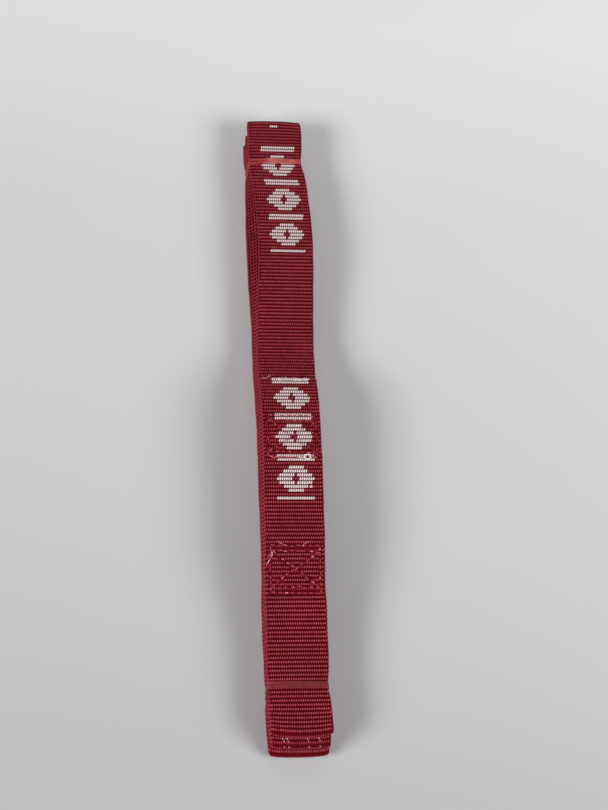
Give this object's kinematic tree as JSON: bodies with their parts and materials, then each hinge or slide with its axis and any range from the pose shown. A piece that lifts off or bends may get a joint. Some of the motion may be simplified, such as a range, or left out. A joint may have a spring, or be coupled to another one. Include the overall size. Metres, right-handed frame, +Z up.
{
  "type": "folded webbing strap",
  "caption": "Ribbed red webbing strap with a sewn eye at each end, folded into a flat bundle and held by orange rubber bands.",
  "frame": {"origin": "on the ground, under the middle of the folded bundle", "axes": "+Y runs along the bundle towards the north end, where the top run's fold reaches furthest; +X is to the right seen from the south end with the tail's cut edge facing up; +Z is up, through the stack of layers"},
  "size_m": [0.0295, 0.323, 0.0218],
  "materials": {
    "webbing": "matte, ribbed weave",
    "rubber": "satin, slightly translucent",
    "thread": "satin"
  },
  "bodies": {
    "root": {"top_tail": "webbing", "strap_run_1": "webbing", "strap_run_2": "webbing", "strap_run_3": "webbing", "strap_run_4": "webbing", "strap_run_5": "webbing", "bottom_tail": "webbing", "north_eye_fold": "webbing", "south_fold_3": "webbing", "top_eye_seam": "thread", "top_tail_seam": "thread", "bottom_eye_seam": "thread", "bottom_tail_seam": "thread"},
    "upper_band": {"upper_rubber_band": "rubber"},
    "lower_band": {"lower_rubber_band": "rubber"},
    "north_leaf_1": {"north_fold_1": "webbing"},
    "north_leaf_2": {"north_fold_2": "webbing"},
    "south_leaf_1": {"south_eye_fold": "webbing"},
    "south_leaf_2": {"south_fold_2": "webbing"}
  },
  "joints": [
    {"name": "upper_band_slide", "type": "slide", "parent": "root", "child": "upper_band", "axis": [0, 1, 0], "range_m": [0, 0.035]},
    {"name": "lower_band_slide", "type": "slide", "parent": "root", "child": "lower_band", "axis": [0, -1, 0], "range_m": [0, 0.035]},
    {"name": "north_leaf_1_lift", "type": "hinge", "parent": "root", "child": "north_leaf_1", "pos_m": [0, 0.14, 0.01244], "axis": [1, 0, 0], "range_deg": [0, 30]},
    {"name": "north_leaf_2_lift", "type": "hinge", "parent": "root", "child": "north_leaf_2", "pos_m": [0, 0.14, 0.00842], "axis": [1, 0, 0], "range_deg": [0, 15]},
    {"name": "south_leaf_1_lift", "type": "hinge", "parent": "root", "child": "south_leaf_1", "pos_m": [0, -0.1387, 0.01229], "axis": [-1, 0, 0], "range_deg": [0, 30]},
    {"name": "south_leaf_2_lift", "type": "hinge", "parent": "root", "child": "south_leaf_2", "pos_m": [0, -0.1387, 0.00851], "axis": [-1, 0, 0], "range_deg": [0, 15]}
  ],
  "couplings": [
    {"joint": "north_leaf_2_lift", "follows": "north_leaf_1_lift", "ratio": 0.5},
    {"joint": "south_leaf_2_lift", "follows": "south_leaf_1_lift", "ratio": 0.5}
  ]
}
